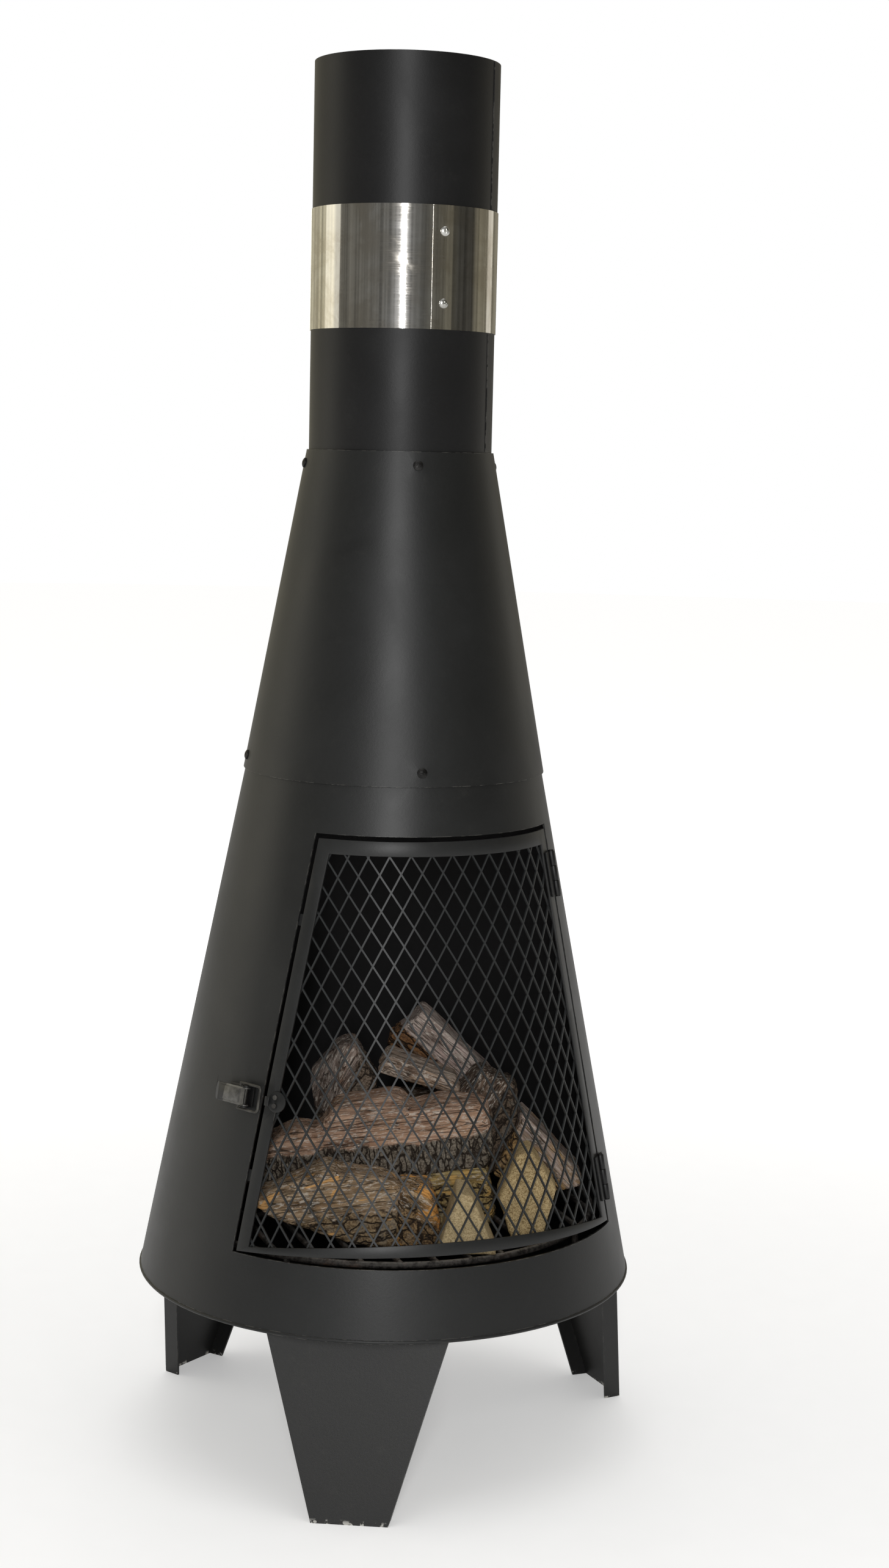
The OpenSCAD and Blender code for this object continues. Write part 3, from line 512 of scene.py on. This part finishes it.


# The shell and flue paints are lightened strongly on their edges: partly rubbed paint, partly painted
# glints along the hood's lower edge and the flue's rim.
stove_paint = painted_steel(
    "satin_charcoal", tone(27, 28, 28), tone(70, 68, 62), 0.75, 0.8 * MM, sooty=True)
flue_paint = painted_steel(
    "flue_charcoal", tone(22, 22, 23), tone(62, 61, 58), 0.75, 0.8 * MM, sooty=True, specular=0.36)
leg_paint = painted_steel("leg_charcoal", tone(28, 28, 27), tone(88, 85, 76), 0.4, 0.9 * MM, chipped=True)
door_paint = painted_steel("door_charcoal", tone(30, 31, 31), tone(70, 69, 64), 0.2, 0.4 * MM)
mesh_paint = painted_steel("mesh_charcoal", tone(42, 44, 45), tone(70, 70, 68), 0.12, 0.3 * MM)
hinge_black = painted_steel("hinge_black", tone(13, 13, 14), tone(50, 49, 46), 0.25, 0.4 * MM)
black_steel = plated_steel("blackened_steel", tone(62, 61, 60), tone(22, 22, 22), 0.35, 0.5, 0.8)
bright_steel = plated_steel("bright_zinc", tone(226, 226, 222), tone(168, 167, 162), 0.22, 0.4)
strike_zinc = plated_steel("strike_zinc", tone(132, 130, 126), tone(84, 82, 80), 0.36, 0.52, 0.9)
latch_steel = plated_steel("dull_zinc", tone(104, 102, 97), tone(54, 53, 51), 0.4, 0.6, 0.7)
lever_finish = lever_steel()
stainless = polished_band()
grate_iron = ashy_iron()


# ---------------------------------------------------------------- wood finishes


def log_place(tree, node, slope):
    """Place in the log's own frame, from its middle: x along the grain, z upward across it."""
    low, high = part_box(node)
    node_place = tree.nodes.new("ShaderNodeMapping")
    node_place.vector_type = "TEXTURE"
    feed(tree, node_place.inputs["Vector"], object_place(tree))
    node_place.inputs["Location"].default_value = (low + high) / 2
    node_place.inputs["Rotation"].default_value = (0.0, math.radians(-slope), PILE_TURN)
    return node_place.outputs["Vector"]


def fibre_of(tree, place, light, dark, stain):
    group = place_group(tree, wood_fibre)
    feed(tree, group.inputs["Vector"], place)
    group.inputs["Light"].default_value = light
    group.inputs["Dark"].default_value = dark
    group.inputs["Stain"].default_value = stain
    return group


def bark_of(tree, place, light, dark, plates=(0.4, 1.0, 1.0)):
    group = place_group(tree, bark_cover)
    feed(tree, group.inputs["Vector"], place)
    group.inputs["Plates"].default_value = plates
    group.inputs["Light"].default_value = light
    group.inputs["Dark"].default_value = dark
    return group


def finish_wood(tree, shader, colour, roughness, height, depth):
    """Wires colour, roughness and relief of wood to its shader."""
    feed(tree, shader.inputs["Base Color"], colour)
    feed(tree, shader.inputs["Roughness"], roughness)
    shader.inputs["Specular IOR Level"].default_value = 0.25
    feed(tree, shader.inputs["Normal"], bump(tree, height, depth, 0.9))


def split_wood(name, node, slope, light, dark, stain):
    """Weathered split wood all over."""
    finish, tree, shader = new_finish(name)
    fibre = fibre_of(tree, log_place(tree, node, slope), light, dark, stain)
    finish_wood(
        tree, shader, fibre.outputs["Color"], fibre.outputs["Roughness"], fibre.outputs["Height"], 1.2 * MM)
    return finish


def barked_wood(name, node, slope, fibres, barks, line, width, depth, splinter=None, whole=0.6):
    """Split wood above a line along the log and bark below it, splintered where the bark is torn."""
    finish, tree, shader = new_finish(name)
    place = log_place(tree, node, slope)
    fibre = fibre_of(tree, place, *fibres)
    bark = bark_of(tree, place, *barks)
    wander = calc(tree, "MULTIPLY", calc(tree, "SUBTRACT", noise(tree, place, 34.0, 5.0, 0.65), 0.5), width)
    height = calc(tree, "ADD", part_of(tree, place, "Z"), wander)
    cover = span(tree, height, line - 2 * MM, line + 2 * MM, 1.0, 0.0)
    colour = blend_colours(tree, cover, fibre.outputs["Color"], bark.outputs["Color"])
    if splinter:
        cover_noise = noise(tree, scaled(tree, place, (0.5, 1.0, 1.0)), 62.0, 3.0, 0.6, 0.8)
        torn = span(tree, cover_noise, whole, whole + 0.04)
        colour = blend_colours(tree, torn, colour, splinter)
    roughness = blend_values(tree, cover, fibre.outputs["Roughness"], bark.outputs["Roughness"])
    relief = blend_values(tree, cover, fibre.outputs["Height"], bark.outputs["Height"])
    finish_wood(tree, shader, colour, roughness, relief, depth)
    return finish


def sawn_wood(name, node, slope, light, dark):
    """Pale wood with a sawn face."""
    finish, tree, shader = new_finish(name)
    face = place_group(tree, sawn_face)
    feed(tree, face.inputs["Vector"], log_place(tree, node, slope))
    face.inputs["Light"].default_value = light
    face.inputs["Dark"].default_value = dark
    finish_wood(
        tree, shader, face.outputs["Color"], face.outputs["Roughness"], face.outputs["Height"], 0.5 * MM)
    return finish


# ---------------------------------------------------------------- sheet metal pieces


def softened(node, name, body, finish, width):
    """A CAD piece with its sharp edges broken, as pressed and deburred steel has."""
    piece = copy_of(node, name)
    use(piece, "BEVEL", width=width, segments=2, limit_method="ANGLE",
        angle_limit=math.radians(40), use_clamp_overlap=False)
    only(piece)
    bpy.ops.object.shade_smooth_by_angle(angle=math.radians(35))
    stand_for(piece, node, body, finish)


# ---------------------------------------------------------------- firewood


def prism_of(node, name):
    """The plain block that a log is hewn from, turned so that the pile faces -Y."""
    block = copy_of(node, name)
    block.rotation_euler = (0, 0, -PILE_TURN)
    settle(block)
    open_mesh(block)
    bpy.ops.mesh.select_all(action="SELECT")
    bpy.ops.mesh.dissolve_limited(angle_limit=math.radians(1))
    close_mesh()
    return block


def round_over(log, width, segments=4):
    use(log, "BEVEL", width=width, segments=segments, limit_method="ANGLE",
        angle_limit=math.radians(20), use_clamp_overlap=True)


def shave(log, point, away):
    """Splits off what lies beyond a plane through a point of the log, in mm."""
    open_mesh(log)
    bpy.ops.mesh.select_all(action="SELECT")
    bpy.ops.mesh.bisect(plane_co=Vector(point) * MM, plane_no=Vector(away).normalized(),
                        use_fill=True, clear_outer=True)
    close_mesh()


def lift(log, across, above, rise):
    """Pulls up the top of a block at a place across the pile, in mm."""
    open_mesh(log)
    bpy.ops.mesh.select_all(action="SELECT")
    bpy.ops.mesh.bisect(plane_co=(across * MM, 0, 0), plane_no=(1, 0, 0))
    bpy.ops.mesh.select_all(action="DESELECT")
    close_mesh()
    for corner in log.data.vertices:
        corner.select = abs(corner.co.x - across * MM) < 0.5 * MM and corner.co.z > above * MM
    bpy.ops.object.mode_set(mode="EDIT")
    bpy.ops.transform.translate(value=(0, 0, rise * MM))
    close_mesh()


def weather(log, kind, amount, slope, along, across, seed):
    """Raises and sinks the surface with noise that is stretched along the grain."""
    guide = bpy.data.objects.new("grain_guide", None)
    scene.collection.objects.link(guide)
    guide.rotation_euler = (0, math.radians(-slope), 0)
    guide.scale = (along, across, across)
    guide.location = (seed * across * 7.3, seed * across * 3.1, 0)
    bpy.context.view_layer.update()
    pattern = bpy.data.textures.new("grain_pattern", "CLOUDS")
    pattern.noise_scale = 1.0
    pattern.noise_depth = 3 if kind == "fibres" else 2
    use(log, "DISPLACE", texture=pattern, texture_coords="OBJECT", texture_coords_object=guide,
        strength=amount, mid_level=0.36)
    bpy.data.objects.remove(guide)


def hew(log, slope, lumps, ridges, seed, voxel=1.6 * MM):
    """Turns a shaped block into a dense closed skin with lumps and fibres."""
    use(log, "REMESH", mode="VOXEL", voxel_size=voxel)
    weather(log, "lumps", lumps, slope, 60 * MM, 22 * MM, seed)
    weather(log, "fibres", ridges, slope, 55 * MM, 4.5 * MM, seed + 5)
    log.rotation_euler = (0, 0, PILE_TURN)
    settle(log)
    only(log)
    bpy.ops.object.shade_smooth()


def tapered_log():
    log = prism_of("log_tapered", "tapered_log")
    lift(log, -50, 250, 8)
    round_over(log, 10 * MM)
    shave(log, (-60, -148, 278), (-0.25, -0.55, 0.8))
    hew(log, 8, 8 * MM, 2.6 * MM, seed=1)
    finish = barked_wood(
        "tapered_log_wood", "log_tapered", 8,
        (tone(186, 160, 128), tone(122, 98, 72), tone(164, 134, 98)),
        (tone(160, 138, 106), tone(92, 72, 50)), -8 * MM, 60 * MM, 1.8 * MM,
        splinter=tone(206, 158, 100), whole=0.62)
    stand_for(log, "log_tapered", "stove", finish)


def gnarled_log():
    log = prism_of("log_gnarled", "gnarled_log")
    round_over(log, 6 * MM)
    hew(log, -30, 12 * MM, 4 * MM, seed=2)
    finish = barked_wood(
        "gnarled_log_wood", "log_gnarled", -30,
        (tone(190, 156, 112), tone(92, 70, 48), tone(206, 150, 84)),
        (tone(166, 138, 100), tone(80, 60, 42)), 2 * MM, 70 * MM, 3 * MM,
        splinter=tone(232, 168, 92), whole=0.54)
    stand_for(log, "log_gnarled", "stove", finish)


def cut_wedge():
    log = prism_of("log_cut_wedge", "cut_wedge")
    round_over(log, 1.2 * MM, 2)
    hew(log, 60, 1.2 * MM, 0.5 * MM, seed=3, voxel=1.2 * MM)
    finish = sawn_wood("cut_wedge_wood", "log_cut_wedge", 20, tone(202, 182, 142), tone(148, 128, 92))
    stand_for(log, "log_cut_wedge", "stove", finish)


def pale_wedge():
    log = prism_of("log_pale_wedge", "pale_wedge")
    round_over(log, 2 * MM, 2)
    shave(log, (142, -122, 262), (0.6, -0.75, 0.2))
    hew(log, 70, 3 * MM, 1.6 * MM, seed=4, voxel=1.3 * MM)
    finish = sawn_wood("pale_wedge_wood", "log_pale_wedge", 70, tone(200, 178, 134), tone(132, 110, 72))
    stand_for(log, "log_pale_wedge", "stove", finish)


def long_log():
    log = prism_of("log_long", "long_log")
    lift(log, -80, 270, 10)
    lift(log, -46, 270, 20)
    lift(log, 10, 270, 12)
    lift(log, 50, 270, 8)
    round_over(log, 6 * MM)
    shave(log, (-10, -99, 324), (-0.05, -0.5, 0.85))
    hew(log, 7, 7 * MM, 3 * MM, seed=5)
    finish = barked_wood(
        "long_log_wood", "log_long", 8,
        (tone(212, 176, 150), tone(148, 114, 92), tone(190, 152, 122)),
        (tone(146, 136, 122), tone(70, 61, 51), (1.5, 0.5, 0.5)), 3 * MM, 26 * MM, 2.6 * MM)
    stand_for(log, "log_long", "stove", finish)


def under_log():
    log = prism_of("log_under", "under_log")
    round_over(log, 6 * MM)
    hew(log, 4, 9 * MM, 3 * MM, seed=6)
    finish = barked_wood(
        "under_log_wood", "log_under", 4,
        (tone(210, 186, 124), tone(138, 116, 72), tone(180, 150, 90)),
        (tone(190, 166, 112), tone(104, 86, 54)), 14 * MM, 34 * MM, 2.6 * MM, splinter=tone(204, 166, 100))
    stand_for(log, "log_under", "stove", finish)


def split_chunk():
    log = prism_of("log_split_chunk", "split_chunk")
    round_over(log, 2.5 * MM, 2)
    shave(log, (-44, -53, 340), (-0.7, -0.7, 0.1))
    hew(log, 62, 5 * MM, 2.8 * MM, seed=7)
    finish = barked_wood(
        "split_chunk_wood", "log_split_chunk", 62,
        (tone(174, 158, 148), tone(92, 76, 66), tone(132, 102, 82)),
        (tone(140, 124, 108), tone(66, 54, 44)), -6 * MM, 40 * MM, 2 * MM)
    stand_for(log, "log_split_chunk", "stove", finish)


def small_bark():
    log = prism_of("log_small_bark", "small_bark")
    round_over(log, 3 * MM, 3)
    shave(log, (20, -40, 340), (-0.28, 0, -0.96))
    shave(log, (20, -54, 362), (0.3, -0.5, 0.8))
    hew(log, -20, 4 * MM, 2.6 * MM, seed=8)
    finish = split_wood("small_bark_wood", "log_small_bark", -20,
                        tone(212, 192, 174), tone(122, 100, 84), tone(180, 144, 110))
    stand_for(log, "log_small_bark", "stove", finish)


def apex_split():
    log = prism_of("log_apex_split", "apex_split")
    round_over(log, 1.6 * MM, 2)
    shave(log, (40, -8, 350), (-0.5, -0.75, -0.5))
    hew(log, -40, 3 * MM, 2.4 * MM, seed=9)
    finish = barked_wood(
        "apex_split_wood", "log_apex_split", -40,
        (tone(220, 204, 194), tone(150, 130, 120), tone(206, 180, 172)),
        (tone(180, 134, 90), tone(112, 78, 52)), -6 * MM, 22 * MM, 1.8 * MM)
    stand_for(log, "log_apex_split", "stove", finish)


def end_grain():
    log = prism_of("log_end_grain", "end_grain")
    round_over(log, 5 * MM)
    hew(log, 60, 7 * MM, 2.6 * MM, seed=10)
    finish = barked_wood(
        "end_grain_wood", "log_end_grain", 60,
        (tone(128, 108, 92), tone(64, 52, 44), tone(98, 74, 56)),
        (tone(118, 102, 86), tone(56, 46, 38)), 6 * MM, 60 * MM, 2 * MM)
    stand_for(log, "log_end_grain", "stove", finish)


def plank():
    log = prism_of("log_plank", "plank")
    lift(log, 118, 300, 8)
    round_over(log, 2 * MM, 2)
    shave(log, (150, -58, 296), (0.35, -0.7, 0.6))
    hew(log, -46, 3 * MM, 2.6 * MM, seed=11)
    finish = barked_wood(
        "plank_wood", "log_plank", -46,
        (tone(206, 188, 182), tone(150, 126, 102), tone(190, 152, 98)),
        (tone(196, 160, 108), tone(132, 102, 66)), 0.0, 20 * MM, 1.8 * MM)
    stand_for(log, "log_plank", "stove", finish)


def back_log():
    log = prism_of("log_back", "back_log")
    round_over(log, 12 * MM)
    hew(log, 0, 8 * MM, 3 * MM, seed=12, voxel=2.2 * MM)
    finish = barked_wood(
        "back_log_wood", "log_back", 0,
        (tone(120, 100, 80), tone(68, 55, 44), tone(98, 74, 54)),
        (tone(108, 92, 76), tone(54, 44, 36)), 20 * MM, 60 * MM, 2.6 * MM)
    stand_for(log, "log_back", "stove", finish)


# ---------------------------------------------------------------- the stove


for node in ("smoke_hood", "firebox_shell", "base_pan"):
    paint_node(node, stove_paint)
paint_node("flue_pipe", flue_paint)
for node in ("neck_screws", "neck_nuts", "waist_screws", "waist_nuts", "leg_bolts", "leg_nuts",
             "hinge_pin_upper", "hinge_pin_lower", "latch_base_rivets"):
    paint_node(node, black_steel)
paint_node("band_screws", bright_steel)
paint_node("strike_rivets", strike_zinc)
for node in ("leg_front", "leg_rear_right", "leg_rear_left"):
    paint_node(node, leg_paint)
paint_node("flue_band", stainless)
paint_node("fire_grate", grate_iron)
paint_node("latch_pin", latch_steel)
paint_node("door_stops", door_paint)
paint_node("door_mesh", mesh_paint)

softened("door_frame", "door_frame_bars", "door", door_paint, 0.4 * MM)
softened("latch_strike", "strike_plate", "door", door_paint, 0.3 * MM)
softened("latch_base", "latch_plate", "stove", hinge_black, 0.25 * MM)
softened("latch_lever", "latch_handle", "latch_lever", lever_finish, 0.25 * MM)
paint_node("latch_loop", latch_steel)
for level in ("upper", "lower"):
    for side, name, body in (("body", "shell_hinge_", "stove"), ("door", "door_hinge_", "door")):
        softened(
            f"hinge_{side}_leaf_{level}", name + level, body, hinge_black, 0.25 * MM)

for hewn in (tapered_log, gnarled_log, cut_wedge, pale_wedge, long_log, under_log,
             split_chunk, small_bark, apex_split, end_grain, plank, back_log):
    hewn()


# ---------------------------------------------------------------- studio


def pale_floor():
    bpy.ops.mesh.primitive_circle_add(vertices=64, radius=14, fill_type="NGON")
    floor = bpy.context.object
    floor.name = "studio_floor"
    finish, tree, shader = new_finish("studio_floor")
    fleck = noise(tree, object_place(tree), 30.0, 3.0, 0.5)
    feed(tree, shader.inputs["Base Color"], blend_colours(
        tree, fleck, (0.84, 0.84, 0.835, 1.0), (0.88, 0.88, 0.875, 1.0)))
    shader.inputs["Roughness"].default_value = 0.9
    shader.inputs["Specular IOR Level"].default_value = 0.1
    # The floor glows as painted light: faint near the stove, stronger further out, and brighter to the
    # camera than towards the stove.
    ground = object_place(tree)
    reach = calc(tree, "SQRT", dot(tree, ground, ground))
    glow = span(tree, reach, 0.4, 2.4, 0.5, 1.0)
    feed(tree, shader.inputs["Emission Color"], blend_colours(
        tree, glow, (0.0, 0.0, 0.0, 1.0), (1.0, 1.0, 1.0, 1.0)))
    seen = tree.nodes.new("ShaderNodeLightPath").outputs["Is Camera Ray"]
    feed(tree, shader.inputs["Emission Strength"], span(tree, seen, 0.0, 1.0, 0.2, 0.64))
    dress(floor, finish)


def soft_light(name, place, aim, width, height, power, colour=(1.0, 1.0, 1.0)):
    light = bpy.data.lights.new(name, "AREA")
    light.shape = "RECTANGLE"
    light.size = width
    light.size_y = height
    light.energy = power
    light.color = colour
    lamp = bpy.data.objects.new(name, light)
    lamp.location = place
    lamp.rotation_euler = (Vector(aim) - Vector(place)).to_track_quat("-Z", "Y").to_euler()
    scene.collection.objects.link(lamp)


def soft_sky():
    """White behind the stove, workshop walls mirrored in its metal, and a dim even light on the rest."""
    world = bpy.data.worlds.new("studio")
    world.use_nodes = True
    scene.world = world
    tree = world.node_tree
    tree.nodes.clear()
    seen = tree.nodes.new("ShaderNodeBackground")
    seen.inputs["Color"].default_value = (1.0, 1.0, 1.0, 1.0)
    lit = tree.nodes.new("ShaderNodeBackground")
    lit.inputs["Color"].default_value = (1.0, 0.985, 0.96, 1.0)
    lit.inputs["Strength"].default_value = 0.42
    ahead = tree.nodes.new("ShaderNodeVectorRotate")
    ahead.rotation_type = "Z_AXIS"
    ahead.inputs["Angle"].default_value = -PILE_TURN
    feed(tree, ahead.inputs["Vector"], tree.nodes.new("ShaderNodeTexCoord").outputs["Generated"])
    across = part_of(tree, ahead.outputs[0], "X")
    away = calc(tree, "MULTIPLY", part_of(tree, ahead.outputs[0], "Y"), -1.0)
    round_about = calc(tree, "ARCTAN2", across, away)
    walls = tree.nodes.new("ShaderNodeValToRGB")
    feed(tree, walls.inputs[0], calc(tree, "ADD", calc(tree, "DIVIDE", round_about, 2 * math.pi), 0.5))
    stops = walls.color_ramp.elements
    # Degrees round from behind the camera, more to its right, and the shade of the wall there.
    for degrees, shade in (
            (-98, (0.54, 0.50, 0.37)), (-93, (0.15, 0.142, 0.12)), (-50, (0.155, 0.15, 0.135)),
            (-16, (0.17, 0.17, 0.165)), (-5, (0.4, 0.4, 0.4)), (10, (0.18, 0.18, 0.175)),
            (24, (0.10, 0.10, 0.094)), (60, (0.17, 0.157, 0.12)), (68, (0.06, 0.058, 0.05)),
            (92, (0.055, 0.052, 0.045)), (104, (0.24, 0.22, 0.165))):
        stop = stops.new(degrees / FULL_TURN + 0.5)
        stop.color = (*shade, 1.0)
    stops[0].color = (0.54, 0.50, 0.37, 1.0)
    stops[-1].color = (0.24, 0.22, 0.17, 1.0)
    boards = noise(tree, scaled(tree, ahead.outputs[0], (1.0, 1.0, 0.16)), 15.0, 3.0, 0.6, 1.6)
    mirrored = tree.nodes.new("ShaderNodeBackground")
    feed(tree, mirrored.inputs["Color"], walls.outputs["Color"])
    feed(tree, mirrored.inputs["Strength"], span(tree, boards, 0.32, 0.68, 0.55, 1.4))
    path = tree.nodes.new("ShaderNodeLightPath")
    metal = tree.nodes.new("ShaderNodeMixShader")
    tree.links.new(path.outputs["Is Glossy Ray"], metal.inputs[0])
    tree.links.new(lit.outputs[0], metal.inputs[1])
    tree.links.new(mirrored.outputs[0], metal.inputs[2])
    choice = tree.nodes.new("ShaderNodeMixShader")
    out = tree.nodes.new("ShaderNodeOutputWorld")
    tree.links.new(path.outputs["Is Camera Ray"], choice.inputs[0])
    tree.links.new(metal.outputs[0], choice.inputs[1])
    tree.links.new(seen.outputs[0], choice.inputs[2])
    tree.links.new(choice.outputs[0], out.inputs["Surface"])


def studio_camera():
    """Camera to the left of the door, a little above the middle of the stove and looking down."""
    lens = bpy.data.cameras.new("studio_camera")
    lens.sensor_width = 36.0
    lens.lens = 57.4
    camera = bpy.data.objects.new("studio_camera", lens)
    scene.collection.objects.link(camera)
    pitch, roll, yaw = -0.1329, 0.0231, -0.0206
    distance, height = 2.2471, 0.9022
    ahead = Vector((-math.sin(yaw), math.cos(yaw), 0))
    side = Vector((math.cos(yaw), math.sin(yaw), 0))
    up = Vector((0, 0, 1))
    look = math.cos(pitch) * ahead + math.sin(pitch) * up
    top = math.cos(pitch) * up - math.sin(pitch) * ahead
    right = math.cos(roll) * side + math.sin(roll) * top
    above = math.cos(roll) * top - math.sin(roll) * side
    turn = Matrix((right, above, -look)).transposed().to_4x4()
    stand = Matrix.Translation((0, -distance, height))
    camera.matrix_world = Matrix.Rotation(PILE_TURN, 4, "Z") @ stand @ turn
    scene.camera = camera


pale_floor()
soft_sky()
soft_light("key", (-1.19, -3.26, 1.55), (0, 0, 0.5), 0.11, 1.6, 40)
soft_light("left", (-2.6, 1.3, 1.2), (0, 0, 0.5), 1.4, 2.0, 6.5, (1.0, 0.96, 0.84))
soft_light("right", (2.9, 1.2, 1.0), (0, 0, 0.5), 0.8, 1.2, 1.6, (1.0, 0.96, 0.88))
soft_light("overhead", (0, 0, 4.0), (0, 0, 0), 3.0, 3.0, 36)
soft_light("back", (0.9, 3.0, 1.8), (0, 0, 0.7), 1.2, 1.6, 7)
studio_camera()
scene.view_settings.view_transform = "Standard"
